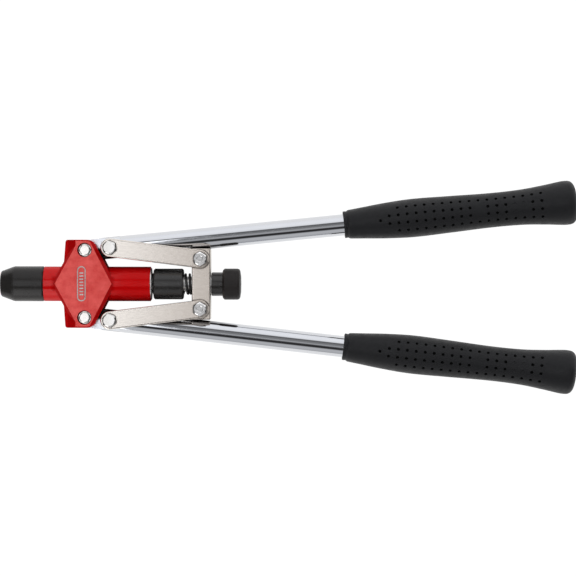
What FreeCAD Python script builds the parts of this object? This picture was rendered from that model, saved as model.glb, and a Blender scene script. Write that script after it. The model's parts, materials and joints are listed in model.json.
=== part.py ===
import FreeCAD, Part
import math
import os

from FreeCAD import Placement, Rotation, Vector

# Long-arm lever riveter for threaded inserts, in millimetres, levers closed.
# The origin is where the tool's axis leaves the nose. +X runs from the nose towards the handles,
# +Z is the face with the bolt heads, and the levers lie in the XY plane, one each side of the X axis.

# ---- Driving dimensions -------------------------------------------------------------------------

# Nose
NOSE_LENGTH = 35.2
NOSE_RADIUS = 14.0
NOSE_TIP_RADIUS = 10.3
NOSE_TAPER_END = 11.0
ANVIL_THREAD_RADIUS = 5.1
ANVIL_THREAD_LENGTH = 12.0

# Head casting
BARREL_RADIUS = 13.8
BARREL_END = 120.0
HUB_HALF_THICKNESS = 15.0
HUB_TOP = 34.95
HUB_LEFT_LOW = 51.4
HUB_LEFT_HIGH = 53.0
HUB_RIGHT_TIP = 92.5
HUB_FLANK_ANGLE = 62.8
LOBE_CORNER_RADIUS = 8.0
FLANK_BEVEL = 2.6
HUB_EDGE_CHAMFER = 1.2
HUB_LEFT_RADIUS = 2.0
SLOPE_START = 61.6
SLOPE_DROP = 4.2
DIAMOND_TIP = 42.3
DIAMOND_EDGE_ANGLE = 61.5
DIAMOND_BEVEL = 2.3
SLOT_HALF_WIDTH = 6.3
FORK_START = 78.0
PLAQUE_CENTRE = 65.9
PLAQUE_WIDTH = 7.0
PLAQUE_LENGTH = 28.0
PLAQUE_DEPTH = 0.5

# Lever pivots, link pins and yoke pins. The closed levers rest at slightly different angles.
PIVOT_X = 68.3
PIVOT_Y = 26.8
UPPER_LEVER_ANGLE = 5.78
LOWER_LEVER_ANGLE = 6.39
LEVER_OPENING = 38.0
PIN_REACH = 19.8
YOKE_PIN_X = 159.8
YOKE_PIN_Y = 19.9

# Levers
TUBE_RADIUS = 8.6
TUBE_WALL = 1.8
TUBE_START = 28.0
TUBE_END = 386.0
EYE_RADIUS = 8.1
EYE_HALF_THICKNESS = 6.0
EYE_FLAT_END = 13.4
BOSS_RADIUS = 7.0
BOSS_HALF_THICKNESS = 9.3
SPIGOT_LENGTH = 34.0
GRIP_START = 206.9
GRIP_END = 393.6

# Links
LINK_WIDTH = 14.6
LINK_THICKNESS = 4.0
LINK_INNER_FACE = 9.5
LINK_EDGE_RADIUS = 1.2
OPEN_PIVOT_CLEARANCE = 1.1

# Yoke, draw rod and stop sleeve
YOKE_FRONT = 153.1
YOKE_BACK = 168.0
YOKE_HALF_HEIGHT = 28.4
YOKE_HALF_THICKNESS = 9.3
YOKE_SADDLE_CLEARANCE = 0.6
ROD_RADIUS = 6.0
ROD_START = 46.0
SLEEVE_START = 122.5
SLEEVE_END = 146.3
SLEEVE_RADIUS = 12.3
SPRING_RADIUS = 7.65
SPRING_WIRE_RADIUS = 1.0
SPRING_COILS = 8

# Spindle and knob
SPINDLE_RADIUS = 4.0
SOCKET_START = 20.5
SOCKET_END = 44.0
MANDREL_THREAD_RADIUS = 2.5
MANDREL_THREAD_LENGTH = 14.0
NECK_RADIUS = 9.45
NECK_START = 168.6
KNOB_START = 177.5
KNOB_END = 191.6
KNOB_RADIUS = 12.45

# Fits and fasteners
RUNNING = 0.05
M6_FLATS = 10.0
M6_RADIUS = 3.0
M5_FLATS = 8.0
M5_RADIUS = 2.5
PIVOT_BOLT_RADIUS = 3.0
LINK_BOLT_RADIUS = 3.5
COUNTERBORE_RADIUS = 5.7
COUNTERBORE_FLOOR = 10.2
WASHER_RADIUS = 4.9
WASHER_THICKNESS = 0.8
BUSH_WALL = 1.2
PIVOT_HEX_TURN = 5
LINK_HEX_TURN = 40
YOKE_HEX_TURN = 30

X_AXIS = Vector(1, 0, 0)
Z_AXIS = Vector(0, 0, 1)


# ---- Shape helpers ------------------------------------------------------------------------------

def cylinder_x(start, end, radius):
    return Part.makeCylinder(radius, end - start, Vector(start, 0, 0), X_AXIS)


def ring_x(start, end, outer, inner):
    return cylinder_x(start, end, outer).cut(cylinder_x(start, end, inner))


def cylinder_z(x, y, low, high, radius):
    return Part.makeCylinder(radius, high - low, Vector(x, y, low), Z_AXIS)


def box(low, high):
    size = Vector(*high) - Vector(*low)
    return Part.makeBox(size.x, size.y, size.z, Vector(*low))


def prism_z(points, low, high):
    corners = [Vector(x, y, low) for x, y in points]
    face = Part.Face(Part.makePolygon(corners + corners[:1]))
    return face.extrude(Vector(0, 0, high - low))


def stadium_z(start, end, radius, low, high):
    """Round-ended bar whose end centres are the two points."""
    line = Vector(*end) - Vector(*start)
    side = Vector(-line.y, line.x, 0).normalize() * radius
    a, b = Vector(*start), Vector(*end)
    bar = prism_z([(p.x, p.y) for p in (a - side, b - side, b + side, a + side)], low, high)
    ends = [cylinder_z(p.x, p.y, low, high, radius) for p in (a, b)]
    return bar.fuse(ends).removeSplitter()


def revolve_x(outline):
    """Turns a closed outline of (x, radius) points about the X axis."""
    corners = [Vector(x, r, 0) for x, r in outline]
    face = Part.Face(Part.makePolygon(corners + corners[:1]))
    return face.revolve(Vector(0, 0, 0), X_AXIS, 360)


def straight_lines(points):
    ends = [Vector(x, y, 0) for x, y in points]
    return [Part.LineSegment(a, b) for a, b in zip(ends, ends[1:])]


def hexagon_z(x, y, low, high, flats, turn=0):
    corner = flats / math.sqrt(3)
    angles = [math.radians(60 * i + turn) for i in range(6)]
    return prism_z([(x + corner * math.cos(a), y + corner * math.sin(a)) for a in angles], low, high)


def chamfered_hex(x, y, low, high, flats, turn, top_up=True):
    """Hexagon head or nut whose free face has its corners turned off at 30 degrees."""
    corner = flats / math.sqrt(3)
    face_radius = flats * 0.44
    slope = math.tan(math.radians(30))
    cone_height = (corner - face_radius) * slope
    rim = corner + 0.01
    if top_up:
        cone = Part.makeCone(rim, face_radius, cone_height, Vector(x, y, high - cone_height), Z_AXIS)
        limit = cylinder_z(x, y, low, high - cone_height, rim).fuse(cone)
    else:
        cone = Part.makeCone(rim, face_radius, cone_height, Vector(x, y, low + cone_height), -Z_AXIS)
        limit = cylinder_z(x, y, low + cone_height, high, rim).fuse(cone)
    return hexagon_z(x, y, low, high, flats, turn).common(limit)


def edges_at_height(shape, z):
    """Edges that lie wholly in the plane at height z."""
    found = []
    for edge in shape.Edges:
        bounds = edge.BoundBox
        if abs(bounds.ZMin - z) < 1e-4 and abs(bounds.ZMax - z) < 1e-4:
            found.append(edge)
    return found


def mirror_y(shape):
    return shape.mirror(Vector(0, 0, 0), Vector(0, 1, 0))


def mirror_z(shape):
    return shape.mirror(Vector(0, 0, 0), Z_AXIS)


def placed(shape, x, y, angle):
    moved = shape.copy()
    moved.Placement = Placement(Vector(x, y, 0), Rotation(Z_AXIS, angle))
    return moved


def lever_angle(side):
    return UPPER_LEVER_ANGLE if side > 0 else LOWER_LEVER_ANGLE


def on_lever(shape, side):
    """From the lever's own frame, pivot at the origin, to its place. side is 1 above, -1 below."""
    return placed(shape, PIVOT_X, side * PIVOT_Y, side * lever_angle(side))


def lever_point(side, reach):
    angle = math.radians(lever_angle(side))
    return (PIVOT_X + reach * math.cos(angle), side * (PIVOT_Y + reach * math.sin(angle)))


def save(name, *solids):
    shape = solids[0] if len(solids) == 1 else Part.makeCompound(list(solids))
    shape.exportStep(os.path.join("parts", name + ".step"))
    bounds = shape.BoundBox
    print(f"{name:24s} solids {len(shape.Solids)} valid {shape.isValid()} volume {shape.Volume:9.1f}"
          f"  x {bounds.XMin:7.2f} {bounds.XMax:7.2f}  y {bounds.YMin:7.2f} {bounds.YMax:7.2f}"
          f"  z {bounds.ZMin:7.2f} {bounds.ZMax:7.2f}")


# ---- Head ---------------------------------------------------------------------------------------

CASTING_FRONT = 22.0
CASTING_BORE = 7.0
BUSH_BORE = 8.5
FRONT_BUSH = (40.0, 52.0)
REAR_BUSH_START = 106.0
REAR_FLANGE_END = 120.8


def hub_outline_solid():
    """Both lobes of the hub between the front and back planes, with rounded outer corners."""
    flank = math.tan(math.radians(HUB_FLANK_ANGLE))
    corner_x = HUB_RIGHT_TIP - HUB_TOP / flank
    points = [
        (HUB_LEFT_LOW, 0), (HUB_LEFT_LOW, BARREL_RADIUS), (HUB_LEFT_HIGH, HUB_TOP),
        (corner_x, HUB_TOP), (HUB_RIGHT_TIP, 0), (corner_x, -HUB_TOP),
        (HUB_LEFT_HIGH, -HUB_TOP), (HUB_LEFT_LOW, -BARREL_RADIUS),
    ]
    hub = prism_z(points, -HUB_HALF_THICKNESS, HUB_HALF_THICKNESS)
    for x, radius in ((corner_x, LOBE_CORNER_RADIUS), (HUB_LEFT_HIGH, HUB_LEFT_RADIUS)):
        upright = [e for e in hub.Edges if e.BoundBox.ZLength > HUB_HALF_THICKNESS]
        corners = [e for e in upright if abs(e.BoundBox.Center.x - x) < 0.1 and e.BoundBox.XLength < 0.1]
        hub = hub.makeFillet(radius, corners)
    rims = edges_at_height(hub, HUB_HALF_THICKNESS) + edges_at_height(hub, -HUB_HALF_THICKNESS)
    return hub.makeChamfer(HUB_EDGE_CHAMFER, rims)


def flank_bevel_cutter():
    """Wedge along one right-hand flank of the front face that leaves a broad 45 degree bevel."""
    reach = 2.0
    profile = [
        (-FLANK_BEVEL, HUB_HALF_THICKNESS), (reach, HUB_HALF_THICKNESS - FLANK_BEVEL - reach),
        (reach, HUB_HALF_THICKNESS + reach), (-FLANK_BEVEL, HUB_HALF_THICKNESS + reach),
    ]
    corners = [Vector(x, 0, z) for x, z in profile]
    wedge = Part.Face(Part.makePolygon(corners + corners[:1])).extrude(Vector(0, 50, 0))
    return placed(wedge, HUB_RIGHT_TIP, 0, 90 - HUB_FLANK_ANGLE)


def slope_cutter():
    """Removes what lies above the lobes' front faces where they fall away towards the nose."""
    left = HUB_LEFT_LOW - 1
    profile = [
        (SLOPE_START, HUB_HALF_THICKNESS), (left, HUB_HALF_THICKNESS - SLOPE_DROP),
        (left, HUB_HALF_THICKNESS + 1), (SLOPE_START, HUB_HALF_THICKNESS + 1),
    ]
    corners = [Vector(x, -HUB_TOP - 1, z) for x, z in profile]
    face = Part.Face(Part.makePolygon(corners + corners[:1]))
    return face.extrude(Vector(0, 2 * HUB_TOP + 2, 0))


def diamond():
    """Raised diamond across both faces, with bevelled edges on the nose side."""
    rise = math.tan(math.radians(DIAMOND_EDGE_ANGLE))
    shoulder_y = HUB_TOP - HUB_EDGE_CHAMFER - 0.3
    shoulder_x = DIAMOND_TIP + shoulder_y / rise
    points = [
        (DIAMOND_TIP, 0), (shoulder_x, shoulder_y), (SLOPE_START + 4, shoulder_y), (80, 0),
        (SLOPE_START + 4, -shoulder_y), (shoulder_x, -shoulder_y),
    ]
    plate = prism_z(points, -HUB_HALF_THICKNESS, HUB_HALF_THICKNESS)
    rims = edges_at_height(plate, HUB_HALF_THICKNESS) + edges_at_height(plate, -HUB_HALF_THICKNESS)
    nose_side = [e for e in rims if e.BoundBox.Center.x < shoulder_x]
    nose_side = [e for e in nose_side if e.BoundBox.XLength > 1 and e.BoundBox.YLength > 10]
    return plate.makeChamfer(DIAMOND_BEVEL, nose_side)


def lever_pocket():
    """Slot in the upper lobe that the lever's eye swings in, from closed to fully open."""
    low, high = -SLOT_HALF_WIDTH, SLOT_HALF_WIDTH
    half_bar = TUBE_RADIUS + 0.4
    pocket = cylinder_z(0, 0, low, high, half_bar + 0.3)
    swing = 0.0
    while swing <= LEVER_OPENING + 2:
        bar = box((0, -half_bar, low), (40, half_bar, high))
        pocket = pocket.fuse(placed(bar, 0, 0, swing - 0.5))
        swing += 10
    return placed(pocket.removeSplitter(), PIVOT_X, PIVOT_Y, UPPER_LEVER_ANGLE)


def fork_gap():
    """Opening in the upper right-hand flank that carries the lever slot down to the barrel."""
    low = (FORK_START, BARREL_RADIUS + 0.2, -SLOT_HALF_WIDTH)
    return box(low, (HUB_RIGHT_TIP, PIVOT_Y, SLOT_HALF_WIDTH))


def plaque_recess():
    """Shallow plain pill-shaped panel in the front face."""
    reach = (PLAQUE_LENGTH - PLAQUE_WIDTH) / 2
    low, high = HUB_HALF_THICKNESS - PLAQUE_DEPTH, HUB_HALF_THICKNESS + 1
    ends = ((PLAQUE_CENTRE, -reach, 0), (PLAQUE_CENTRE, reach, 0))
    panel = stadium_z(*ends, PLAQUE_WIDTH / 2, low, high)
    island = stadium_z(*ends, PLAQUE_WIDTH / 2 - 1.0, low, high)
    return panel.cut(island)


def head_casting():
    hub = hub_outline_solid()
    bevel = flank_bevel_cutter()
    for cutter in (bevel, mirror_y(bevel), slope_cutter()):
        hub = hub.cut(cutter).cut(mirror_z(cutter))
    casting = hub.fuse(diamond())
    casting = casting.fuse(cylinder_x(NOSE_LENGTH, BARREL_END, BARREL_RADIUS))
    casting = casting.fuse(cylinder_x(CASTING_FRONT, NOSE_LENGTH + 1, 10.0))
    casting = casting.removeSplitter()

    pocket = lever_pocket().fuse(fork_gap())
    holes = [pocket, mirror_y(pocket)]
    for side in (1, -1):
        x, y = PIVOT_X, side * PIVOT_Y
        holes.append(cylinder_z(x, y, -20, 20, PIVOT_BOLT_RADIUS))
        holes.append(cylinder_z(x, y, COUNTERBORE_FLOOR, 20, COUNTERBORE_RADIUS))
        holes.append(cylinder_z(x, y, -20, -COUNTERBORE_FLOOR, COUNTERBORE_RADIUS))
    holes.append(cylinder_x(CASTING_FRONT - 1, BARREL_END + 1, CASTING_BORE))
    holes.append(cylinder_x(CASTING_FRONT - 1, FRONT_BUSH[1], BUSH_BORE))
    holes.append(cylinder_x(REAR_BUSH_START, BARREL_END + 1, BUSH_BORE))
    holes.append(plaque_recess())
    for hole in holes:
        casting = casting.cut(hole)
    return casting


def nose_sleeve():
    taper = (NOSE_RADIUS - NOSE_TIP_RADIUS) / (NOSE_TAPER_END - 1.2)
    outline = [
        (0, ANVIL_THREAD_RADIUS), (0, 7.2), (0.25, 8.6), (0.65, 9.6), (1.2, NOSE_TIP_RADIUS),
        (NOSE_TAPER_END - 1.0, NOSE_RADIUS - taper - 0.03), (NOSE_TAPER_END + 0.6, NOSE_RADIUS),
        (NOSE_LENGTH - 1.3, NOSE_RADIUS), (NOSE_LENGTH, NOSE_RADIUS - 0.9), (NOSE_LENGTH, 10.0),
        (ANVIL_THREAD_LENGTH + 1.5, 10.0), (ANVIL_THREAD_LENGTH, 8.5),
        (ANVIL_THREAD_LENGTH, ANVIL_THREAD_RADIUS),
    ]
    return revolve_x(outline)


def rear_guide_bush():
    bush = ring_x(REAR_BUSH_START, BARREL_END, BUSH_BORE, ROD_RADIUS + RUNNING)
    return bush.fuse(ring_x(BARREL_END, REAR_FLANGE_END, 12.7, ROD_RADIUS + RUNNING)).removeSplitter()


def make_head():
    save("head_casting", head_casting())
    save("nose_sleeve", nose_sleeve())
    save("front_guide_bush", ring_x(*FRONT_BUSH, BUSH_BORE, ROD_RADIUS + RUNNING))
    save("rear_guide_bush", rear_guide_bush())

    seat = COUNTERBORE_FLOOR + WASHER_THICKNESS
    bolts, nuts, washers = [], [], []
    for side in (1, -1):
        x, y = PIVOT_X, side * PIVOT_Y
        bolt = chamfered_hex(x, y, seat, seat + 3.6, M5_FLATS, PIVOT_HEX_TURN)
        bolt = bolt.fuse(cylinder_z(x, y, -seat, seat, PIVOT_BOLT_RADIUS))
        bolts.append(bolt.fuse(cylinder_z(x, y, -seat - 4.6, -seat, M5_RADIUS)))
        nut = chamfered_hex(x, y, -seat - 4.0, -seat, M5_FLATS, PIVOT_HEX_TURN, top_up=False)
        nuts.append(nut.cut(cylinder_z(x, y, -20, 0, M5_RADIUS)))
        for low in (COUNTERBORE_FLOOR, -seat):
            disc = cylinder_z(x, y, low, low + WASHER_THICKNESS, WASHER_RADIUS)
            washers.append(disc.cut(cylinder_z(x, y, -20, 20, PIVOT_BOLT_RADIUS)))
    save("head_pivot_bolts", *bolts)
    save("head_pivot_nuts", *nuts)
    save("head_pivot_washers", *washers)


# ---- Levers -------------------------------------------------------------------------------------

def lever_end():
    """Forged end in the lever's own frame: flat eye, round neck, pin boss and tube spigot."""
    half = EYE_HALF_THICKNESS
    eye = stadium_z((0, 0, 0), (EYE_FLAT_END, 0, 0), EYE_RADIUS, -half, half)
    bar = cylinder_x(EYE_FLAT_END, TUBE_START, TUBE_RADIUS)
    boss = cylinder_z(PIN_REACH, 0, -BOSS_HALF_THICKNESS, BOSS_HALF_THICKNESS, BOSS_RADIUS)
    spigot = cylinder_x(TUBE_START - 1, TUBE_START + SPIGOT_LENGTH, TUBE_RADIUS - TUBE_WALL)
    end = bar.fuse([eye, boss, spigot]).removeSplitter()
    end = end.cut(cylinder_z(0, 0, -20, 20, PIVOT_BOLT_RADIUS + RUNNING + BUSH_WALL))
    return end.cut(cylinder_z(PIN_REACH, 0, -20, 20, LINK_BOLT_RADIUS))


def pivot_bush():
    inner = PIVOT_BOLT_RADIUS + RUNNING
    low, high = -EYE_HALF_THICKNESS, EYE_HALF_THICKNESS
    return cylinder_z(0, 0, low, high, inner + BUSH_WALL).cut(cylinder_z(0, 0, low, high, inner))


def grip():
    """Moulded handle: thin lip, palm swell, waist and flared end, turned about the lever's axis."""
    swell = [(GRIP_START + 1.0, 11.0), (223.0, 12.4), (240.0, 14.0), (262.0, 15.15), (292.0, 14.5),
             (325.0, 13.6), (350.0, 14.0), (368.0, 15.6), (383.0, 17.45)]
    side = Part.BSplineCurve()
    side.interpolate([Vector(x, r, 0) for x, r in swell])
    inner_end = 3.0
    bore = TUBE_RADIUS
    rim = Vector(387.2, 17.6, 0)
    crown_edge = Vector(392.8, 11.8, 0)
    corner = Part.Arc(rim, Vector(391.3, 16.0, 0), crown_edge)
    before = [(GRIP_START, bore), (GRIP_START, 10.2), swell[0]]
    after = [(crown_edge.x, crown_edge.y), (GRIP_END - 0.15, 6.0), (GRIP_END, 0),
             (TUBE_END + inner_end, 0), (TUBE_END + inner_end, bore), (GRIP_START, bore)]
    flare = Part.LineSegment(Vector(*swell[-1], 0), rim)
    curves = straight_lines(before) + [side, flare, corner] + straight_lines(after)
    outline = Part.Wire([curve.toShape() for curve in curves])
    return Part.Face(outline).revolve(Vector(0, 0, 0), X_AXIS, 360)


def make_lever(side, prefix):
    save(prefix + "_lever_end", on_lever(lever_end(), side))
    save(prefix + "_pivot_bush", on_lever(pivot_bush(), side))
    tube = ring_x(TUBE_START, TUBE_END, TUBE_RADIUS, TUBE_RADIUS - TUBE_WALL)
    save(prefix + "_lever_tube", on_lever(tube, side))
    save(prefix + "_grip", on_lever(grip(), side))

    x, y = lever_point(side, PIN_REACH)
    seat = LINK_INNER_FACE + LINK_THICKNESS + 0.2
    bolt = chamfered_hex(x, y, seat, seat + 4.0, M6_FLATS, LINK_HEX_TURN)
    bolt = bolt.fuse(cylinder_z(x, y, -seat, seat, LINK_BOLT_RADIUS))
    save(prefix + "_link_bolt", bolt.fuse(cylinder_z(x, y, -seat - 4.4, -seat, M6_RADIUS)))
    nut = chamfered_hex(x, y, -seat - 4.5, -seat, M6_FLATS, LINK_HEX_TURN, top_up=False)
    save(prefix + "_link_nut", nut.cut(cylinder_z(x, y, -20, 0, M6_RADIUS)))


# ---- Links --------------------------------------------------------------------------------------

def link_plate(side):
    """Front link of one side: a flat round-ended strip with softened outer edges."""
    pin = lever_point(side, PIN_REACH)
    yoke_pin = (YOKE_PIN_X, side * YOKE_PIN_Y)
    low, high = LINK_INNER_FACE, LINK_INNER_FACE + LINK_THICKNESS
    plate = stadium_z((*pin, 0), (*yoke_pin, 0), LINK_WIDTH / 2, low, high)
    plate = plate.makeFillet(LINK_EDGE_RADIUS, edges_at_height(plate, high))
    plate = plate.cut(cylinder_z(*pin, low - 1, high + 1, LINK_BOLT_RADIUS + RUNNING))
    open_radius = M6_RADIUS + OPEN_PIVOT_CLEARANCE
    return plate.cut(cylinder_z(*yoke_pin, low - 1, high + 1, open_radius))


def make_links(side, prefix):
    front = link_plate(side)
    save(prefix + "_front_link", front)
    save(prefix + "_back_link", mirror_z(front))


# ---- Yoke, draw rod, spring and stop sleeve -----------------------------------------------------

def yoke_block():
    """Bar across the tool, hollowed at each end so that the closed lever tubes lie in it."""
    low = (YOKE_FRONT, -YOKE_HALF_HEIGHT, -YOKE_HALF_THICKNESS)
    high = (YOKE_BACK, YOKE_HALF_HEIGHT, YOKE_HALF_THICKNESS)
    block = box(low, high)
    block = block.makeFillet(1.0, block.Edges)
    block = block.cut(cylinder_x(YOKE_FRONT - 1, YOKE_BACK + 1, ROD_RADIUS))
    saddle = cylinder_x(PIN_REACH + 40, PIN_REACH + 120, TUBE_RADIUS + YOKE_SADDLE_CLEARANCE)
    for side in (1, -1):
        block = block.cut(on_lever(saddle, side))
        block = block.cut(cylinder_z(YOKE_PIN_X, side * YOKE_PIN_Y, -20, 20, M6_RADIUS))
    return block


def make_yoke():
    save("yoke_block", yoke_block())
    save("draw_rod", ring_x(ROD_START, YOKE_BACK, ROD_RADIUS, SPINDLE_RADIUS + RUNNING))

    seat = LINK_INNER_FACE + LINK_THICKNESS + 0.2
    head = 4.0
    dimple = 0.3
    bolts, nuts = [], []
    for side in (1, -1):
        x, y = YOKE_PIN_X, side * YOKE_PIN_Y
        bolt = chamfered_hex(x, y, seat, seat + head, M6_FLATS, YOKE_HEX_TURN)
        bolt = bolt.fuse(cylinder_z(x, y, -seat - head, seat, M6_RADIUS))
        bolts.append(bolt.cut(Part.makeCone(2.1, 2.5, dimple, Vector(x, y, seat + head - dimple), Z_AXIS)))
        nut = chamfered_hex(x, y, -seat - head, -seat, M6_FLATS, YOKE_HEX_TURN, top_up=False)
        nuts.append(nut.cut(cylinder_z(x, y, -20, 0, M6_RADIUS)))
    save("yoke_bolts", *bolts)
    save("yoke_nuts", *nuts)


def return_spring():
    """Open-coiled compression spring between the rear guide bush and the yoke."""
    length = YOKE_FRONT - REAR_FLANGE_END - 2 * SPRING_WIRE_RADIUS
    coil = Part.makeHelix(length / SPRING_COILS, length, SPRING_RADIUS)
    centre = Vector(SPRING_RADIUS, 0, 0)
    profile = Part.Wire(Part.makeCircle(SPRING_WIRE_RADIUS, centre, Vector(0, 1, 0)))
    spring = Part.Wire(coil).makePipeShell([profile], True, True)
    spring.Placement = Placement(
        Vector(REAR_FLANGE_END + SPRING_WIRE_RADIUS, 0, 0), Rotation(Vector(0, 1, 0), 90))
    return spring


def stop_sleeve():
    bore = SPRING_RADIUS + SPRING_WIRE_RADIUS + 0.4
    start, end, outer, bevel = SLEEVE_START, SLEEVE_END, SLEEVE_RADIUS, 1.0
    return revolve_x([
        (start, bore), (start, outer - bevel), (start + bevel, outer), (end - bevel, outer),
        (end, outer - bevel), (end, bore),
    ])


# ---- Mandrel spindle and knob -------------------------------------------------------------------

def mandrel_socket():
    socket = cylinder_x(SOCKET_START, SOCKET_END, 5.5)
    thread_end = SOCKET_START + MANDREL_THREAD_LENGTH
    socket = socket.cut(cylinder_x(SOCKET_START - 1, thread_end, MANDREL_THREAD_RADIUS))
    return socket.cut(cylinder_x(thread_end + 1.5, SOCKET_END + 1, 3.5))


def spindle_shaft():
    thread_start = SOCKET_START + MANDREL_THREAD_LENGTH + 1.5
    shaft = cylinder_x(thread_start, SOCKET_END, 3.5)
    return shaft.fuse(cylinder_x(SOCKET_END, KNOB_START + 8, SPINDLE_RADIUS))


def knob_neck():
    outline = [
        (NECK_START, SPINDLE_RADIUS), (NECK_START, NECK_RADIUS - 0.6), (NECK_START + 0.6, NECK_RADIUS),
        (KNOB_START, NECK_RADIUS), (KNOB_START, SPINDLE_RADIUS),
    ]
    neck = revolve_x(outline)
    return neck.cut(cylinder_z((NECK_START + KNOB_START) / 2, 0, -20, 0, 2.0))


def spin_knob():
    start, end, outer = KNOB_START, KNOB_END, KNOB_RADIUS
    blind = KNOB_START + 8
    return revolve_x([
        (start, SPINDLE_RADIUS), (start, outer - 2.0), (start + 0.4, outer - 1.2), (start + 1.6, outer),
        (end - 2.0, outer), (end - 0.7, outer - 0.6), (end, outer - 1.9), (end + 0.6, outer - 6.0),
        (end + 0.8, 0), (blind, 0), (blind, SPINDLE_RADIUS),
    ])


def make_spindle():
    save("mandrel_socket", mandrel_socket())
    save("spindle_shaft", spindle_shaft())
    save("thrust_washer", ring_x(NECK_START - 0.6, NECK_START, 8.0, SPINDLE_RADIUS))
    save("knob_neck", knob_neck())
    save("spin_knob", spin_knob())
    screw_x = (NECK_START + KNOB_START) / 2
    screw = cylinder_z(screw_x, 0, -NECK_RADIUS + 0.4, -SPINDLE_RADIUS, 2.0)
    save("knob_grub_screw", screw.cut(hexagon_z(screw_x, 0, -NECK_RADIUS, -NECK_RADIUS + 2.4, 2.0)))


# ---- Build --------------------------------------------------------------------------------------

os.makedirs("parts", exist_ok=True)
make_head()
for lever_side, lever_name in ((1, "upper"), (-1, "lower")):
    make_lever(lever_side, lever_name)
    make_links(lever_side, lever_name)
make_yoke()
save("return_spring", return_spring())
save("stop_sleeve", stop_sleeve())
make_spindle()
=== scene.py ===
import bpy
import json
import math
from mathutils import Matrix, Vector


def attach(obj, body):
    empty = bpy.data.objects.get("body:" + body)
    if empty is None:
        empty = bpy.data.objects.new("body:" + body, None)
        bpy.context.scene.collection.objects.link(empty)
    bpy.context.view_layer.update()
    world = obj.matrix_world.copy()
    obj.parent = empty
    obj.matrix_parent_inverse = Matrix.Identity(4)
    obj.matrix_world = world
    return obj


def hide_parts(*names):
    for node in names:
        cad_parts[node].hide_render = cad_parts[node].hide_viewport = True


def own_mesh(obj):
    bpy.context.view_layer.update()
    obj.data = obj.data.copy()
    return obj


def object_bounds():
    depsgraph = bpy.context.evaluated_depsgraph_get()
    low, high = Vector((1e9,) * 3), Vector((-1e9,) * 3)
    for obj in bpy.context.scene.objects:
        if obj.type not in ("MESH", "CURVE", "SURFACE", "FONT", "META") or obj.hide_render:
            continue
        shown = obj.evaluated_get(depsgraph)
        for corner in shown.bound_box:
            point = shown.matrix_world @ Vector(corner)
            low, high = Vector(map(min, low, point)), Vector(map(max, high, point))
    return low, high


# Looks for the long-arm lever riveter. Metres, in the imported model's own frame: X along the tool's
# axis from the nose, Y across the levers, Z out of the face with the bolt heads. Constants are in
# millimetres where their comment says so, and are turned into metres by MM where they are used.

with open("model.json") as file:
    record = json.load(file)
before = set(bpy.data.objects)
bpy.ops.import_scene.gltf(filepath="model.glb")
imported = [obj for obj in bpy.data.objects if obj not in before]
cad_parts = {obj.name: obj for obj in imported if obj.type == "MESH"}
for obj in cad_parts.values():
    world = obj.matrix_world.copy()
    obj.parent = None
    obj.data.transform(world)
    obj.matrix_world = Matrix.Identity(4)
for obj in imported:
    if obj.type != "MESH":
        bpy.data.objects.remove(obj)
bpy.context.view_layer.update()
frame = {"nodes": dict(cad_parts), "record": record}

MM = 0.001
JOINTS = {joint["name"]: joint for joint in frame["record"]["behaviour"]["joints"]}
LEVER_TURN = {"upper": math.radians(5.78), "lower": math.radians(-6.39)}


# ---- Material helpers ---------------------------------------------------------------------------

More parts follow.
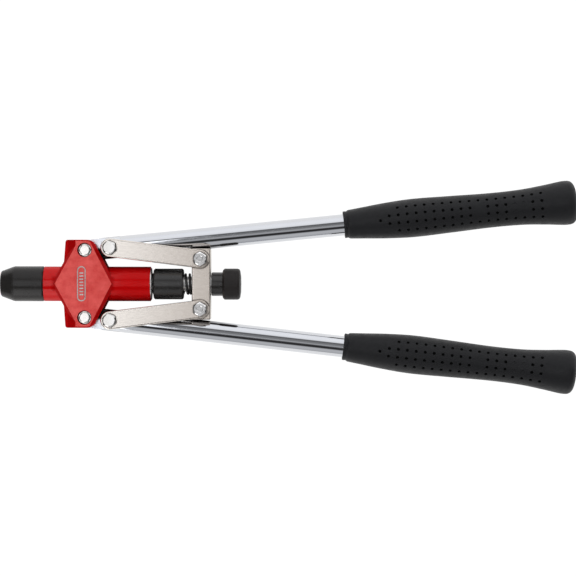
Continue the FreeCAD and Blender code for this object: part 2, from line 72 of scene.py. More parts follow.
class Surface:
    """A Principled material with small helpers that add nodes to it."""

    def __init__(self, name, color, roughness, metallic=0.0):
        self.material = bpy.data.materials.new(name)
        self.material.use_nodes = True
        self.nodes = self.material.node_tree.nodes
        self.links = self.material.node_tree.links
        self.shader = self.nodes["Principled BSDF"]
        self.set("Base Color", (*color, 1))
        self.set("Roughness", roughness)
        self.set("Metallic", metallic)
        self.place = self.nodes.new("ShaderNodeTexCoord").outputs["Object"]
        self.height = None

    def set(self, socket, value):
        self.shader.inputs[socket].default_value = value

    def plug(self, source, socket):
        self.links.new(source, self.shader.inputs[socket])

    def stretched(self, scale):
        """Object coordinates scaled by axis, so that grain runs along the least scaled one."""
        stretch = self.nodes.new("ShaderNodeMapping")
        stretch.inputs["Scale"].default_value = scale
        self.links.new(self.place, stretch.inputs["Vector"])
        return stretch.outputs["Vector"]

    def noise(self, scale, detail=3.0, roughness=0.5, where=None):
        node = self.nodes.new("ShaderNodeTexNoise")
        node.inputs["Scale"].default_value = scale
        node.inputs["Detail"].default_value = detail
        node.inputs["Roughness"].default_value = roughness
        self.links.new(where or self.place, node.inputs["Vector"])
        return node.outputs["Fac"]

    def spots(self, scale, radius, where=None):
        """1 in small round spots, 0 elsewhere."""
        node = self.nodes.new("ShaderNodeTexVoronoi")
        node.inputs["Scale"].default_value = scale
        self.links.new(where or self.place, node.inputs["Vector"])
        return self.remap(node.outputs["Distance"], 0.0, radius, 1.0, 0.0)

    def remap(self, source, low, high, out_low, out_high):
        node = self.nodes.new("ShaderNodeMapRange")
        node.inputs["From Min"].default_value = low
        node.inputs["From Max"].default_value = high
        node.inputs["To Min"].default_value = out_low
        node.inputs["To Max"].default_value = out_high
        self.links.new(source, node.inputs["Value"])
        return node.outputs["Result"]

    def fade(self, source, span, out_low, out_high):
        """Fades from one level to the other while the source crosses a span in millimetres."""
        return self.remap(source, span[0] * MM, span[1] * MM, out_low, out_high)

    def multiply(self, a, b):
        node = self.nodes.new("ShaderNodeMath")
        node.operation = "MULTIPLY"
        self.links.new(a, node.inputs[0])
        if isinstance(b, float):
            node.inputs[1].default_value = b
        else:
            self.links.new(b, node.inputs[1])
        return node.outputs["Value"]

    def along(self, axis):
        """Place along one of the object's own axes, in metres."""
        split = self.nodes.new("ShaderNodeSeparateXYZ")
        self.links.new(self.place, split.inputs["Vector"])
        return split.outputs[axis]

    def distance(self, axis):
        """Distance from the tool's own middle along Y or Z, the same on both sides."""
        node = self.nodes.new("ShaderNodeMath")
        node.operation = "ABSOLUTE"
        self.links.new(self.along(axis), node.inputs[0])
        return node.outputs["Value"]

    def blend_colors(self, factor, first, second):
        """Mixes two colours, or a colour onto an earlier blend, by a 0 to 1 factor."""
        node = self.nodes.new("ShaderNodeMix")
        node.data_type = "RGBA"
        self.links.new(factor, node.inputs["Factor"])
        for socket, value in (("A", first), ("B", second)):
            target = next(i for i in node.inputs if i.name == socket and i.type == "RGBA")
            if isinstance(value, tuple):
                target.default_value = (*value, 1)
            else:
                self.links.new(value, target)
        return next(o for o in node.outputs if o.type == "RGBA")

    def edges(self, radius):
        """1 along sharp outer and inner edges, fading to 0 a little way off."""
        bevel = self.nodes.new("ShaderNodeBevel")
        bevel.samples = 6
        bevel.inputs["Radius"].default_value = radius
        geometry = self.nodes.new("ShaderNodeNewGeometry")
        dot = self.nodes.new("ShaderNodeVectorMath")
        dot.operation = "DOT_PRODUCT"
        self.links.new(bevel.outputs["Normal"], dot.inputs[0])
        self.links.new(geometry.outputs["Normal"], dot.inputs[1])
        return self.remap(dot.outputs["Value"], 0.75, 0.98, 1.0, 0.0)

    def crevices(self, reach):
        """1 in the corners where two pieces or faces meet, fading to 0 within reach; the materials
        paint shade with it.
        """
        shelter = self.nodes.new("ShaderNodeAmbientOcclusion")
        shelter.samples = 8
        shelter.inputs["Distance"].default_value = reach
        return self.remap(shelter.outputs["AO"], 0.5, 0.9, 1.0, 0.0)

    def bump(self, source, distance, strength=1.0, rounded=0.0):
        """Adds a bump on top of any earlier one. rounded softens sharp edges by that radius."""
        node = self.nodes.new("ShaderNodeBump")
        node.inputs["Strength"].default_value = strength
        node.inputs["Distance"].default_value = distance
        self.links.new(source, node.inputs["Height"])
        if self.height is not None:
            self.links.new(self.height, node.inputs["Normal"])
        elif rounded:
            bevel = self.nodes.new("ShaderNodeBevel")
            bevel.samples = 6
            bevel.inputs["Radius"].default_value = rounded
            self.links.new(bevel.outputs["Normal"], node.inputs["Normal"])
        self.height = node.outputs["Normal"]
        self.plug(self.height, "Normal")


# Spans in millimetres over which a finish, a painted shade or a painted sheen changes. Heights are
# distances from the middle plane.
PROUD_FACE = (14.75, 14.9)
BEVEL_FOOT = (12.3, 12.7)
NOSE_TIP = (41.5, 43.5)
REAR_TIP = (90.5, 92.5)
HUB_TO_BARREL = (90, 100)
NOSE_TO_SLEEVE = (40, 110)
HEAD_TO_YOKE_BOLTS = (86, 98)
LINK_TO_YOKE = (100, 166)
LEVER_CHEEK = (0.5, 4.0)
LEVER_OUTER_HALF = (27.6, 29.2)


def red_enamel():
    """Glossy red paint on a casting: mottled, with a painted sheen on the proud faces, painted shade
    on their bevels and in the corners, and edges lightened partly by wear, partly as a painted
    highlight."""
    s = Surface("red_enamel", (0.75, 0.004, 0.005), 0.3, 0.15)
    bevel = s.multiply(s.fade(s.distance("Z"), BEVEL_FOOT, 0.0, 1.0),
                       s.fade(s.distance("Z"), PROUD_FACE, 1.0, 0.0))
    bevel = s.multiply(bevel, s.fade(s.along("X"), NOSE_TIP, 0.0, 1.0))
    bevel = s.multiply(bevel, s.fade(s.along("X"), REAR_TIP, 1.0, 0.0))
    gloss = s.fade(s.along("X"), HUB_TO_BARREL, 0.32, 0.14)
    s.plug(s.multiply(gloss, s.remap(bevel, 0.0, 1.0, 1.0, 0.3)), "Coat Weight")
    s.set("Coat Roughness", 0.13)
    s.set("Coat IOR", 1.6)
    s.set("Specular IOR Level", 0.0)
    mottle = s.noise(140, 5, 0.6)
    color = s.blend_colors(mottle, (0.60, 0.001, 0.002), (0.72, 0.004, 0.005))
    # Painted shade: the bevels are darkened, standing for the shade on these sideways faces.
    color = s.blend_colors(s.multiply(bevel, 0.6), color, (0.40, 0.001, 0.002))
    # Painted sheen: the proud faces are lightened to a pink haze, standing for the reflection they
    # catch from above.
    proud = s.fade(s.distance("Z"), PROUD_FACE, 0.0, 1.0)
    painted_sheen = s.multiply(proud, s.remap(s.noise(150, 6, 0.62), 0.32, 0.68, 0.35, 1.0))
    color = s.blend_colors(painted_sheen, color, (0.95, 0.115, 0.098))
    # Edges lightened partly by wear, partly as a painted highlight along them.
    wear_and_highlight = s.remap(s.noise(420, 4), 0.35, 0.6, 0.1, 0.6)
    color = s.blend_colors(s.multiply(s.edges(0.25 * MM), wear_and_highlight), color, (0.80, 0.10, 0.09))
    # Painted shade: darker in the corners where faces and parts meet.
    crevice_shade = s.multiply(s.crevices(2.2 * MM), 0.8)
    s.plug(s.blend_colors(crevice_shade, color, (0.16, 0.0, 0.001)), "Base Color")
    s.plug(s.remap(s.noise(300, 3), 0.3, 0.7, 0.28, 0.34), "Roughness")
    s.bump(s.noise(260, 3, 0.5), 0.04 * MM, 0.3, rounded=0.25 * MM)
    return s.material


def black_steel():
    """Black oxide on turned steel: fine lathe rings, brownish bloom and rubbed edges."""
    s = Surface("black_steel", (0.022, 0.020, 0.019), 0.3)
    rings = s.noise(1.0, 2, where=s.stretched((1400, 15, 15)))
    bloom = s.noise(110, 3, 0.5)
    color = s.blend_colors(bloom, (0.0175, 0.0165, 0.016), (0.0275, 0.0245, 0.0225))
    rub = s.multiply(s.edges(0.4 * MM), s.remap(s.noise(700, 3), 0.4, 0.65, 0.0, 0.7))
    s.plug(s.blend_colors(rub, color, (0.10, 0.095, 0.09)), "Base Color")
    s.plug(s.remap(s.noise(160, 2), 0.3, 0.7, 0.23, 0.29), "Roughness")
    s.plug(s.fade(s.along("X"), NOSE_TO_SLEEVE, 0.25, 0.55), "Specular IOR Level")
    s.bump(rings, 0.0012 * MM, 0.3, rounded=0.3 * MM)
    return s.material


def black_oxide():
    """Dull, brownish black finish on the knob."""
    s = Surface("black_oxide", (0.020, 0.0175, 0.0165), 0.5)
    s.set("Specular IOR Level", 0.25)
    rings = s.noise(1.0, 2, where=s.stretched((1200, 15, 15)))
    bloom = s.noise(120, 3, 0.5)
    color = s.blend_colors(bloom, (0.0175, 0.0145, 0.0135), (0.0235, 0.0195, 0.018))
    rub = s.multiply(s.edges(0.4 * MM), s.remap(s.noise(700, 3), 0.4, 0.65, 0.0, 0.6))
    s.plug(s.blend_colors(rub, color, (0.07, 0.065, 0.062)), "Base Color")
    s.plug(s.remap(s.noise(160, 2), 0.3, 0.7, 0.45, 0.54), "Roughness")
    s.bump(rings, 0.002 * MM, 0.3, rounded=0.2 * MM)
    return s.material


def bright_steel():
    """Ground steel with fine turning rings."""
    s = Surface("bright_steel", (0.80, 0.79, 0.77), 0.3, 1.0)
    rings = s.noise(1.0, 2, where=s.stretched((4200, 50, 50)))
    s.plug(s.blend_colors(s.noise(260, 3), (0.74, 0.73, 0.71), (0.88, 0.87, 0.85)), "Base Color")
    s.plug(s.remap(rings, 0.3, 0.7, 0.26, 0.42), "Roughness")
    s.bump(rings, 0.006 * MM, 0.5, rounded=0.2 * MM)
    return s.material


def bolt_zinc():
    """Bright zinc plate, slightly cloudy, with painted shade: darker at the head end, on the hexagon
    edges and in the corners.
    """
    s = Surface("bolt_zinc", (0.86, 0.85, 0.84), 0.2, 1.0)
    color = s.blend_colors(s.noise(300, 3), (0.83, 0.82, 0.81), (0.89, 0.88, 0.865))
    # Painted shade: the bolts are darkened towards the head end, standing for how the light falls
    # there.
    head_end_shade = s.fade(s.along("X"), HEAD_TO_YOKE_BOLTS, 1.0, 0.0)
    color = s.blend_colors(head_end_shade, color, (0.63, 0.61, 0.58))
    # Painted shade: the hexagon edges are darkened, standing for the shade on the head's sides.
    color = s.blend_colors(s.multiply(s.edges(0.3 * MM), 0.75), color, (0.16, 0.15, 0.14))
    # Painted shade: darker in the corners round the heads and washers.
    s.plug(s.blend_colors(s.crevices(0.9 * MM), color, (0.06, 0.055, 0.05)), "Base Color")
    s.plug(s.remap(s.noise(400, 2), 0.3, 0.7, 0.11, 0.16), "Roughness")
    s.bump(s.noise(500, 2), 0.001 * MM, 0.2, rounded=0.1 * MM)
    return s.material


def nickel():
    """Satin nickel on pressed strip: warm grey with a fine rolled grain, with painted shade darker
    towards the yoke and in the corners.
    """
    s = Surface("nickel", (0.80, 0.76, 0.71), 0.36, 1.0)
    grain = s.noise(1.0, 2, where=s.stretched((45, 700, 700)))
    cloud = s.noise(70, 3, 0.5)
    color = s.blend_colors(cloud, (0.735, 0.685, 0.63), (0.795, 0.745, 0.69))
    # Painted shade: darker along the links towards the yoke.
    yoke_end_shade = s.fade(s.along("X"), LINK_TO_YOKE, 0.0, 0.85)
    color = s.blend_colors(yoke_end_shade, color, (0.60, 0.535, 0.475))
    speckle = s.noise(1.0, 3, where=s.stretched((260, 900, 900)))
    color = s.blend_colors(s.remap(speckle, 0.35, 0.65, 0.0, 0.2), color, (0.48, 0.43, 0.38))
    # Painted shade: dark outlines where the links meet the yoke and other parts.
    s.plug(s.blend_colors(s.crevices(1.8 * MM), color, (0.045, 0.038, 0.032)), "Base Color")
    s.plug(s.remap(grain, 0.3, 0.7, 0.235, 0.275), "Roughness")
    s.bump(grain, 0.0006 * MM, 0.2, rounded=0.3 * MM)
    return s.material


def chrome():
    """Hard chrome on drawn tube: near mirror with very fine length-wise polish and light smears."""
    s = Surface("chrome", (0.655, 0.665, 0.69), 0.06, 1.0)
    polish = s.noise(1.0, 2, where=s.stretched((30, 2400, 2400)))
    s.plug(s.blend_colors(s.noise(60, 3), (0.63, 0.64, 0.668), (0.68, 0.69, 0.712)), "Base Color")
    s.plug(s.remap(s.noise(150, 5, 0.6), 0.35, 0.7, 0.035, 0.09), "Roughness")
    s.bump(polish, 0.0012 * MM, 0.4)
    return s.material


def satin_chrome():
    """Forged lever end: ground and plated on its outer half; near black inside, painted shade in the
    slot and under the links.
    """
    s = Surface("satin_chrome", (0.76, 0.77, 0.79), 0.3, 1.0)
    plate = s.blend_colors(s.noise(160, 4), (0.68, 0.70, 0.735), (0.77, 0.785, 0.815))
    # Painted shade: the half towards the axis and the middle of the cheeks are near black, standing for
    # the shade inside the hub's slot.
    cheek = s.fade(s.distance("Z"), LEVER_CHEEK, 0.3, 1.0)
    outer = s.fade(s.distance("Y"), LEVER_OUTER_HALF, 0.0, 1.0)
    s.plug(s.blend_colors(s.multiply(cheek, outer), (0.012, 0.011, 0.011), plate), "Base Color")
    s.plug(s.remap(s.noise(420, 4), 0.3, 0.7, 0.24, 0.38), "Roughness")
    s.bump(s.noise(520, 3), 0.02 * MM, 0.4, rounded=0.4 * MM)
    return s.material


def grip_rubber():
    """Moulded black rubber: satin skin with a very fine leathery tooth and a trace of dust."""
    s = Surface("grip_rubber", (0.020, 0.0205, 0.021), 0.5)
    s.set("Specular IOR Level", 0.24)
    dust = s.spots(330, 0.035)
    color = s.blend_colors(s.noise(70, 4), (0.0118, 0.012, 0.0134), (0.0175, 0.0177, 0.0192))
    s.plug(s.blend_colors(s.multiply(dust, 0.3), color, (0.10, 0.10, 0.10)), "Base Color")
    s.plug(s.remap(s.noise(240, 4), 0.3, 0.7, 0.44, 0.58), "Roughness")
    s.bump(s.noise(2600, 3), 0.02 * MM, 0.5)
    s.bump(s.noise(110, 3), 0.08 * MM, 0.2)
    return s.material


def dot_shadow():
    """Painted shade: near-black, matt floor of the grip's deep recesses, standing for the shade inside
    them.
    """
    s = Surface("dot_shadow", (0.003, 0.003, 0.0032), 0.8)
    s.set("Specular IOR Level", 0.1)
    color = s.blend_colors(s.noise(1800, 3), (0.002, 0.002, 0.0022), (0.005, 0.005, 0.0052))
    s.plug(color, "Base Color")
    s.bump(s.noise(2600, 3), 0.02 * MM, 0.5)
    return s.material


def rubbed_metal():
    """Raised marks whose red paint has rubbed off the tops."""
    s = Surface("rubbed_metal", (0.62, 0.56, 0.54), 0.42, 0.6)
    patches = s.remap(s.noise(1500, 4), 0.56, 0.66, 0.0, 1.0)
    s.plug(s.blend_colors(patches, (0.66, 0.60, 0.575), (0.55, 0.06, 0.05)), "Base Color")
    s.plug(s.remap(s.noise(900, 3), 0.3, 0.7, 0.34, 0.5), "Roughness")
    s.bump(s.noise(1800, 3), 0.02 * MM, 0.5, rounded=0.12 * MM)
    return s.material


def bronze():
    """Sintered bronze with open pores."""
    s = Surface("bronze", (0.55, 0.36, 0.16), 0.42, 1.0)
    s.plug(s.blend_colors(s.noise(600, 4), (0.45, 0.28, 0.12), (0.62, 0.42, 0.20)), "Base Color")
    s.plug(s.remap(s.noise(1500, 3), 0.3, 0.7, 0.34, 0.52), "Roughness")
    s.bump(s.spots(2600, 0.2), -0.01 * MM, 0.4)
    return s.material


def spring_steel():
    """Oil-tempered wire: near black with faint drawn streaks."""
    s = Surface("spring_steel", (0.016, 0.015, 0.014), 0.3)
    color = s.blend_colors(s.noise(700, 4), (0.010, 0.0095, 0.009), (0.024, 0.022, 0.020))
    s.plug(color, "Base Color")
    s.plug(s.remap(s.noise(1200, 3), 0.3, 0.7, 0.22, 0.40), "Roughness")
    s.bump(s.noise(2200, 2), 0.008 * MM, 0.5)
    return s.material


def paint_frame(materials):
    """Gives every CAD node the material of its slot in the record."""
    for entry in frame["record"]["subparts"]:
        node = frame["nodes"][entry["node"]]
        node.data.materials.clear()
        node.data.materials.append(materials[entry["material_slot"]])


# ---- Mesh helpers -------------------------------------------------------------------------------

def mesh_object(name, points, faces, material, smooth=True):
    mesh = bpy.data.meshes.new(name)
    mesh.from_pydata(points, [], faces)
    mesh.validate()
    mesh.materials.append(material)
    mesh.polygons.foreach_set("use_smooth", [smooth] * len(mesh.polygons))
    obj = bpy.data.objects.new(name, mesh)
    bpy.context.scene.collection.objects.link(obj)
    return obj


def smooth_curve(points, x):
    """Height at x of a smooth curve through rising (x, height) points."""
    if x <= points[0][0]:
        return points[0][1]
    if x >= points[-1][0]:
        return points[-1][1]
    i = next(k for k in range(len(points) - 1) if points[k + 1][0] >= x)
    (x0, y0), (x1, y1) = points[i], points[i + 1]
    before = points[max(i - 1, 0)]
    after = points[min(i + 2, len(points) - 1)]
    slope0 = (y1 - before[1]) / (x1 - before[0])
    slope1 = (after[1] - y0) / (after[0] - x0)
    width = x1 - x0
    t = (x - x0) / width
    a = (1 + 2 * t) * (1 - t) ** 2 * y0 + t * (1 - t) ** 2 * width * slope0
    return a + t * t * (3 - 2 * t) * y1 + t * t * (t - 1) * width * slope1


# ---- Grips --------------------------------------------------------------------------------------

# Millimetres along the lever's own axis, whose zero is the head's pivot, and degrees round it.
GRIP_START = 206.9
GRIP_END = 393.6
GRIP_BORE = 8.6
GRIP_PROFILE = [(208.0, 11.0), (223.0, 12.4), (240.0, 14.0), (262.0, 15.15), (292.0, 14.5),
                (325.0, 13.6), (350.0, 14.0), (368.0, 15.6), (383.0, 17.4), (387.2, 17.6)]
RING_STEP = 7.15 / 4
FIRST_DOT_RING = 18
FIRST_RING = 243.1 - FIRST_DOT_RING * RING_STEP
RING_COUNT = 98
INNER_ROW = 12.5
OUTER_ROW = 38.5
HALF_CELL = 6.25
DOT_RADIUS = 1.32
DOT_DEPTH = 1.3
SHALLOW_DEPTH = 0.35
SEAM_HEIGHT = 0.22
SEAM_HALF_ANGLE = 2.0
# A dot's section from its rim to its floor: share of the radius, share of the depth.
DOT_SECTION = [(1.06, 0.0), (0.98, 0.15), (0.95, 0.6), (0.85, 0.95), (0.45, 1.0)]
DOT_SIDES = 8
COLUMN_COUNT = 18
COLUMN_RINGS = 4
GAP_COLUMN = 10
FAINT_COLUMNS = (14, 15)
# The lip as distance past the grip's start and radius, from its root round into the bore.
LIP_SECTION = [(3.4, 10.95), (2.9, 10.55), (2.3, 10.5), (1.9, 10.7), (0.5, 10.75), (0.1, 10.5),
               (0.0, 10.0), (0.0, GRIP_BORE + 0.35), (0.5, GRIP_BORE + 0.02), (6.0, GRIP_BORE + 0.02)]
TAIL_START = 387.3
TAIL_RADIUS = 17.6
TAIL_ROUND = 5.6


def dot_places():
    """Ring index, angle and depth of every dot on one face."""
    places = [(FIRST_DOT_RING - COLUMN_RINGS, 0.0, DOT_DEPTH)]
    for column in range(COLUMN_COUNT):
        ring = FIRST_DOT_RING + COLUMN_RINGS * column
        for angle in (-OUTER_ROW, -INNER_ROW, INNER_ROW, OUTER_ROW):
            inner = abs(angle) == INNER_ROW
            if column == (GAP_COLUMN if inner else 0):
                continue
            faint = inner and column in FAINT_COLUMNS
            places.append((ring, angle, SHALLOW_DEPTH if faint else DOT_DEPTH))
    return places


def grip_angles():
    """Angles of the mesh lines round the grip, dense where the dots and the seams are."""
    near = [0, HALF_CELL, INNER_ROW, INNER_ROW + HALF_CELL, 25.5, OUTER_ROW - HALF_CELL, OUTER_ROW,
            OUTER_ROW + HALF_CELL, 54, 64, 74, 82, 86, 88, 89, 90]
    half = sorted({-a for a in near} | set(near))
    return half[:-1] + [a + 180 for a in half[:-1]]


def add_dot(mesh, ring, line, spot, depth, surface):
    """Fills the four cells round one grid point with a round recess, and lists its dark faces."""
    points, faces, grid, taken, rings, lines, dark = mesh
    count = len(lines)
    left, right = (line - 1) % count, (line + 1) % count
    previous = [grid[ring - 1, left], grid[ring - 1, line], grid[ring - 1, right], grid[ring, right],
                grid[ring + 1, right], grid[ring + 1, line], grid[ring + 1, left], grid[ring, left]]
    taken.update({(ring - 1, left), (ring - 1, line), (ring, left), (ring, line)})
    radius = smooth_curve(GRIP_PROFILE, rings[ring])
    deep = depth > 2 * SHALLOW_DEPTH
    for scale, sink in DOT_SECTION:
        loop = []
        for k in range(DOT_SIDES):
            turn = math.radians(225 - 45 * k)
            s = rings[ring] + DOT_RADIUS * scale * math.cos(turn)
            across = math.degrees(DOT_RADIUS * scale * math.sin(turn) / radius)
            loop.append(len(points))
            points.append(surface(s, spot + across, depth * sink))
        for k in range(DOT_SIDES):
            n = (k + 1) % DOT_SIDES
            if deep and sink > 0.5:
                dark.append(len(faces))
            faces.append((previous[n], previous[k], loop[k], loop[n]))
        previous = loop
    bottom = len(points)
    points.append(surface(rings[ring], spot, depth))
    for k in range(DOT_SIDES):
        if deep:
            dark.append(len(faces))
        faces.append((previous[(k + 1) % DOT_SIDES], previous[k], bottom))


def make_grip(prefix, rubber, shadow):
    """Turned rubber handle with recessed dots on its two faces and a moulding seam on each side."""
    rings = [FIRST_RING + RING_STEP * i for i in range(RING_COUNT)]
    lines = grip_angles()
    count = len(lines)
    points, faces, taken, dark = [], [], set(), []

    def surface(s, angle, sink=0.0):
        off_seam = abs((angle % 180) - 90)
        seam = SEAM_HEIGHT * max(0.0, 1 - off_seam / SEAM_HALF_ANGLE)
        radius = smooth_curve(GRIP_PROFILE, s) + seam - sink
        turn = math.radians(angle)
        return (s, radius * math.sin(turn), radius * math.cos(turn))

    grid = {}
    for i, s in enumerate(rings):
        for j, angle in enumerate(lines):
            grid[i, j] = len(points)
            points.append(surface(s, angle))
    mesh = (points, faces, grid, taken, rings, lines, dark)
    for face_turn in (0, 180):
        for ring, angle, depth in dot_places():
            line = min(range(count), key=lambda k: abs(lines[k] - angle - face_turn))
            add_dot(mesh, ring, line, lines[line], depth, surface)
    for i in range(len(rings) - 1):
        for j in range(count):
            if (i, j) not in taken:
                k = (j + 1) % count
                faces.append((grid[i, k], grid[i, j], grid[i + 1, j], grid[i + 1, k]))

    def run_of_rings(first, outline, outward):
        """Adds rings of (s, radius) one after the other, joined to the first one."""
        previous = first
        for s, radius in outline:
            ring = []
            for angle in lines:
                turn = math.radians(angle)
                ring.append(len(points))
                points.append((s, radius * math.sin(turn), radius * math.cos(turn)))
            for j in range(count):
                k = (j + 1) % count
                a, b = (previous, ring) if outward else (ring, previous)
                faces.append((a[k], a[j], b[j], b[k]))
            previous = ring
        return previous

    lip = [(GRIP_START + past, radius) for past, radius in LIP_SECTION]
    run_of_rings([grid[0, j] for j in range(count)], lip, outward=False)
    tail = [(TAIL_START - 0.4, TAIL_RADIUS)]
    for degrees in (15, 30, 45, 60, 72):
        turn = math.radians(degrees)
        tail.append((TAIL_START + TAIL_ROUND * math.sin(turn),
                     TAIL_RADIUS - TAIL_ROUND + TAIL_ROUND * math.cos(turn)))
    tail += [(GRIP_END - 0.35, 11.6), (GRIP_END - 0.15, 8.0), (GRIP_END, 4.0)]
    last = run_of_rings([grid[len(rings) - 1, j] for j in range(count)], tail, outward=True)
    centre = len(points)
    points.append((GRIP_END + 0.02, 0, 0))
    for j in range(count):
        faces.append((last[(j + 1) % count], last[j], centre))

    pivot = Vector(JOINTS[prefix + "_lever_pivot"]["pos_m"])
    turn = Matrix.Rotation(LEVER_TURN[prefix], 3, "Z")
    placed = [tuple(turn @ (Vector(p) * MM) + pivot) for p in points]
    grip = mesh_object(prefix + "_rubber_grip", placed, faces, rubber)
    grip.data.materials.append(shadow)
    # The deep dots' floors take the dot_shadow material, which is painted shade.
    for index in dark:
        grip.data.polygons[index].material_index = 1
    smoother = grip.modifiers.new("smooth", "SUBSURF")
    smoother.levels = smoother.render_levels = 1
    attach(grip, prefix + "_lever")
    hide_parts(prefix + "_grip")


# ---- Return spring ------------------------------------------------------------------------------

# Millimetres along the tool's axis.
SPRING_START = 120.8
SPRING_END = 153.1
SPRING_RADIUS = 7.65
SPRING_WIRE = 1.0
SPRING_TURNS = 8.5
CLOSED_TURNS = 0.85
STEPS_PER_TURN = 40
WIRE_SIDES = 12


def make_spring(material):
    """Coil spring with closed, flattened ends."""
    slide = JOINTS["yoke_slide"]
    start = SPRING_START + SPRING_WIRE
    end = SPRING_END - SPRING_WIRE
    closed_length = 2 * SPRING_WIRE * CLOSED_TURNS
    pitch = (end - start - 2 * closed_length) / (SPRING_TURNS - 2 * CLOSED_TURNS)
    points, faces = [], []
    steps = int(SPRING_TURNS * STEPS_PER_TURN)
    for i in range(steps + 1):
        turn = i / STEPS_PER_TURN
        if turn < CLOSED_TURNS:
            x = start + 2 * SPRING_WIRE * turn
        elif turn > SPRING_TURNS - CLOSED_TURNS:
            x = end - 2 * SPRING_WIRE * (SPRING_TURNS - turn)
        else:
            x = start + closed_length + pitch * (turn - CLOSED_TURNS)
        angle = 2 * math.pi * turn
        outward = Vector((0, math.cos(angle), math.sin(angle)))
        centre = Vector((x, 0, 0)) + outward * SPRING_RADIUS
        for k in range(WIRE_SIDES):
            a = 2 * math.pi * k / WIRE_SIDES
            along = Vector((SPRING_WIRE * math.sin(a), 0, 0))
            points.append(centre + outward * (SPRING_WIRE * math.cos(a)) + along)
    for i in range(steps):
        for k in range(WIRE_SIDES):
            n = (k + 1) % WIRE_SIDES
            a, b = i * WIRE_SIDES, (i + 1) * WIRE_SIDES
            faces.append((a + n, a + k, b + k, b + n))
    faces.append(tuple(range(WIRE_SIDES)))
    faces.append(tuple(steps * WIRE_SIDES + k for k in reversed(range(WIRE_SIDES))))
    spring = mesh_object("coil_spring", [tuple(p * MM) for p in points], faces, material)
    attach(spring, "head")
    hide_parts("return_spring")
    travel = max(abs(v) for v in slide["range_m"])
    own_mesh(spring)


# ---- Plaque -------------------------------------------------------------------------------------

# Millimetres. The rim's section and the ribs are given from the pill's middle line and the face.
PLAQUE_CENTRE = 65.9
PLAQUE_REACH = 10.5
PLAQUE_FACE = 15.0
RIM_SECTION = [(3.44, -0.48), (3.44, 0.04), (3.24, 0.18), (2.76, 0.18), (2.56, 0.04), (2.56, -0.48)]
END_STEPS = 16
RIB_COUNT = 8
RIB_PITCH = 2.45
RIB_HALF_LENGTH = 1.55
RIB_HALF_WIDTH = 0.55
RIB_HEIGHT = 0.28
# A rib's section from its foot to its top: inset, share of the height.
RIB_SECTION = [(0.0, -0.1), (0.0, 0.6), (0.22, 1.0)]


def pill_path(x, reach, radius, z):
    """Points round a round-ended slot shape that runs along Y."""
    path = []
    for centre_y, first in ((reach, 0), (-reach, 180)):
        for i in range(END_STEPS + 1):
            turn = math.radians(first + 180 * i / END_STEPS)
            path.append((x + radius * math.cos(turn), centre_y + radius * math.sin(turn), z))
    return path


def make_plaque(material):
    """Plain pill-shaped frame let into the front face, with a row of plain ribs inside it."""
    points, faces = [], []
    loops = []
    for radius, rise in RIM_SECTION:
        path = pill_path(PLAQUE_CENTRE, PLAQUE_REACH, radius, PLAQUE_FACE + rise)
        loops.append([len(points) + i for i in range(len(path))])
        points += path
    count = len(loops[0])
    for a, b in zip(loops, loops[1:] + loops[:1]):
        for i in range(count):
            k = (i + 1) % count
            faces.append((a[i], a[k], b[k], b[i]))
    for index in range(RIB_COUNT):
        y = RIB_PITCH * (index - (RIB_COUNT - 1) / 2)
        previous = None
        for inset, level in RIB_SECTION:
            dx, dy = RIB_HALF_LENGTH - inset, RIB_HALF_WIDTH - inset
            z = PLAQUE_FACE + RIB_HEIGHT * level
            loop = [len(points) + i for i in range(4)]
            points += [(PLAQUE_CENTRE - dx, y - dy, z), (PLAQUE_CENTRE + dx, y - dy, z),
                       (PLAQUE_CENTRE + dx, y + dy, z), (PLAQUE_CENTRE - dx, y + dy, z)]
            if previous:
                for i in range(4):
                    k = (i + 1) % 4
                    faces.append((previous[i], previous[k], loop[k], loop[i]))
            else:
                faces.append(tuple(reversed(loop)))
            previous = loop
        faces.append(tuple(previous))
    scaled = [tuple(c * MM for c in point) for point in points]
    plaque = mesh_object("plaque_frame", scaled, faces, material, smooth=False)
    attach(plaque, "head")


# ---- Studio -------------------------------------------------------------------------------------

# The floor glows white to the eye; for all other rays a painted shadow dims its glow round the head and
# the draw rod.
SHADE_CENTRE = 0.10
SHADE_REACH = (0.085, 0.045)
SHADE_LEVEL = 0.05
SHADE_FADE = (0.6, 1.2)
FLOOR_HALF_SIZE = 6.0


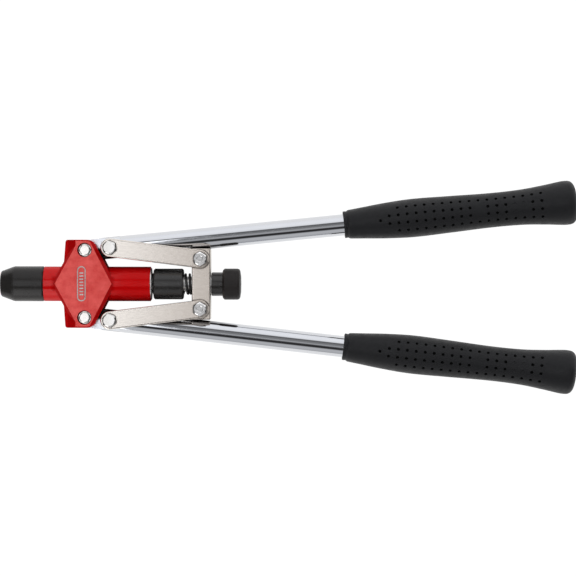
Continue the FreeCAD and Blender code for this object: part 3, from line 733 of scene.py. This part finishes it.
def make_floor():
    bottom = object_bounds()[0][2]
    size = FLOOR_HALF_SIZE
    corners = [(x * size, y * size, bottom) for x, y in ((-1, -1), (1, -1), (1, 1), (-1, 1))]
    material = bpy.data.materials.new("floor_white")
    material.use_nodes = True
    nodes, links = material.node_tree.nodes, material.node_tree.links
    shader = nodes["Principled BSDF"]
    shader.inputs["Base Color"].default_value = (0.1, 0.1, 0.1, 1)
    shader.inputs["Roughness"].default_value = 0.9
    shader.inputs["Specular IOR Level"].default_value = 0.0
    shader.inputs["Emission Color"].default_value = (1, 1, 1, 1)
    place = nodes.new("ShaderNodeMapping")
    place.inputs["Location"].default_value = (-SHADE_CENTRE / SHADE_REACH[0], 0, 0)
    place.inputs["Scale"].default_value = (1 / SHADE_REACH[0], 1 / SHADE_REACH[1], 1)
    links.new(nodes.new("ShaderNodeTexCoord").outputs["Object"], place.inputs["Vector"])
    flat = nodes.new("ShaderNodeVectorMath")
    flat.operation = "MULTIPLY"
    flat.inputs[1].default_value = (1, 1, 0)
    links.new(place.outputs["Vector"], flat.inputs[0])
    away = nodes.new("ShaderNodeVectorMath")
    away.operation = "LENGTH"
    links.new(flat.outputs["Vector"], away.inputs[0])
    shade = nodes.new("ShaderNodeMapRange")
    shade.interpolation_type = "SMOOTHSTEP"
    shade.inputs["From Min"].default_value = SHADE_FADE[0]
    shade.inputs["From Max"].default_value = SHADE_FADE[1]
    shade.inputs["To Min"].default_value = SHADE_LEVEL
    links.new(away.outputs["Value"], shade.inputs["Value"])
    seen = nodes.new("ShaderNodeMath")
    seen.operation = "MAXIMUM"
    links.new(nodes.new("ShaderNodeLightPath").outputs["Is Camera Ray"], seen.inputs[0])
    links.new(shade.outputs["Result"], seen.inputs[1])
    links.new(seen.outputs["Value"], shader.inputs["Emission Strength"])
    floor = mesh_object("floor", corners, [(0, 1, 2, 3)], material, smooth=False)


# Brightness of the surround by angle about X, in degrees from straight up towards +Y. The middle
# sky is seen by faces that look up or sideways; the nose sky is what leans towards -X.
MIDDLE_SKY = [(-180, 0.9), (-93, 0.75), (-86, 0.50), (-72, 0.60), (-50, 0.62), (-42, 0.30), (-38, 0.04),
              (-24, 0.03), (-17, 0.10), (-14, 0.48), (0, 0.35), (14, 0.25), (25, 0.12), (29, 0.16),
              (36, 1.05), (60, 1.15), (92, 1.08), (180, 0.9)]
NOSE_SKY = [(-180, 0.9), (-93, 0.75), (-86, 0.50), (-72, 0.60), (-50, 0.62), (-42, 0.30), (-38, 0.04),
            (-19, 0.03), (-14, 2.15), (19, 2.15), (25, 0.12), (29, 0.16), (36, 1.05), (60, 1.15),
            (92, 1.08), (180, 0.9)]
NOSE_SKY_EDGE = (-0.096, -0.078)
FAR_SKY_EDGE = (-0.60, -0.42)
FAR_LEVEL = 0.10


def make_world():
    """Studio surround: soft boxes above and to both sides, and a dimmer end behind the nose."""
    world = bpy.data.worlds.new("studio")
    bpy.context.scene.world = world
    world.use_nodes = True
    nodes, links = world.node_tree.nodes, world.node_tree.links
    background = nodes["Background"]
    direction = nodes.new("ShaderNodeTexCoord").outputs["Generated"]
    split = nodes.new("ShaderNodeSeparateXYZ")
    links.new(direction, split.inputs["Vector"])
    angle = nodes.new("ShaderNodeMath")
    angle.operation = "ARCTAN2"
    links.new(split.outputs["Y"], angle.inputs[0])
    links.new(split.outputs["Z"], angle.inputs[1])
    share = nodes.new("ShaderNodeMapRange")
    share.inputs["From Min"].default_value = -math.pi
    share.inputs["From Max"].default_value = math.pi
    links.new(angle.outputs["Value"], share.inputs["Value"])

    def sky(bands):
        brightest = max(level for degrees, level in bands)
        ramp = nodes.new("ShaderNodeValToRGB")
        ramp.color_ramp.interpolation = "LINEAR"
        elements = ramp.color_ramp.elements
        for index, (degrees, level) in enumerate(bands):
            spot = (degrees + 180) / 360
            element = elements[index] if index < 2 else elements.new(spot)
            element.position = spot
            shade = level / brightest
            element.color = (shade, shade, shade, 1)
        links.new(share.outputs["Result"], ramp.inputs["Fac"])
        scale = nodes.new("ShaderNodeMath")
        scale.operation = "MULTIPLY"
        scale.inputs[1].default_value = brightest
        links.new(ramp.outputs["Color"], scale.inputs[0])
        return scale.outputs["Value"]

    def mixed(edge, beyond, before):
        """The level past the edge, going towards -X, faded into the level before it."""
        fade = nodes.new("ShaderNodeMapRange")
        fade.interpolation_type = "SMOOTHSTEP"
        fade.inputs["From Min"].default_value = edge[0]
        fade.inputs["From Max"].default_value = edge[1]
        links.new(split.outputs["X"], fade.inputs["Value"])
        blend = nodes.new("ShaderNodeMix")
        links.new(fade.outputs["Result"], blend.inputs["Factor"])
        for socket, value in (("A", beyond), ("B", before)):
            target = next(i for i in blend.inputs if i.name == socket and i.type == "VALUE")
            if isinstance(value, float):
                target.default_value = value
            else:
                links.new(value, target)
        return next(o for o in blend.outputs if o.type == "VALUE")

    level = mixed(FAR_SKY_EDGE, FAR_LEVEL, mixed(NOSE_SKY_EDGE, sky(NOSE_SKY), sky(MIDDLE_SKY)))
    links.new(level, background.inputs["Strength"])
    background.inputs["Color"].default_value = (0.98, 0.99, 1.02, 1)


LIGHT_PLACE = (-0.12, -0.4, 0.23)
LIGHT_TARGET = (-0.12, 0, 0)
LIGHT_SIZE = (0.27, 0.44)
LIGHT_POWER = 0.63


def make_light():
    """One soft box low beside the nose."""
    data = bpy.data.lights.new("nose_strip", "AREA")
    data.shape = "RECTANGLE"
    data.size, data.size_y = LIGHT_SIZE
    data.energy = LIGHT_POWER
    light = bpy.data.objects.new("nose_strip", data)
    light.location = LIGHT_PLACE
    towards = Vector(LIGHT_TARGET) - Vector(LIGHT_PLACE)
    light.rotation_euler = towards.to_track_quat("-Z", "Y").to_euler()
    light.visible_camera = False
    bpy.context.scene.collection.objects.link(light)


CAMERA_PLACE = (0.2297, -0.0030, 1.6)
CAMERA_ROLL = 0.12
LENS = 125


def make_camera():
    """Straight above the tool, with the nose to the left."""
    data = bpy.data.cameras.new("camera")
    data.sensor_width = 36
    data.lens = LENS
    data.clip_end = 50
    camera = bpy.data.objects.new("camera", data)
    camera.location = CAMERA_PLACE
    camera.rotation_euler = (0, 0, math.radians(CAMERA_ROLL))
    bpy.context.scene.collection.objects.link(camera)
    bpy.context.scene.camera = camera


# ---- Scene --------------------------------------------------------------------------------------

MATERIALS = {make.__name__: make() for make in (
    red_enamel, black_steel, black_oxide, bright_steel, bolt_zinc, nickel, chrome, satin_chrome,
    grip_rubber, dot_shadow, rubbed_metal, bronze, spring_steel)}
paint_frame(MATERIALS)
for prefix in LEVER_TURN:
    make_grip(prefix, MATERIALS["grip_rubber"], MATERIALS["dot_shadow"])
make_spring(MATERIALS["spring_steel"])
make_plaque(MATERIALS["rubbed_metal"])
make_floor()
make_world()
make_light()
make_camera()
bpy.context.scene.view_settings.view_transform = "Standard"
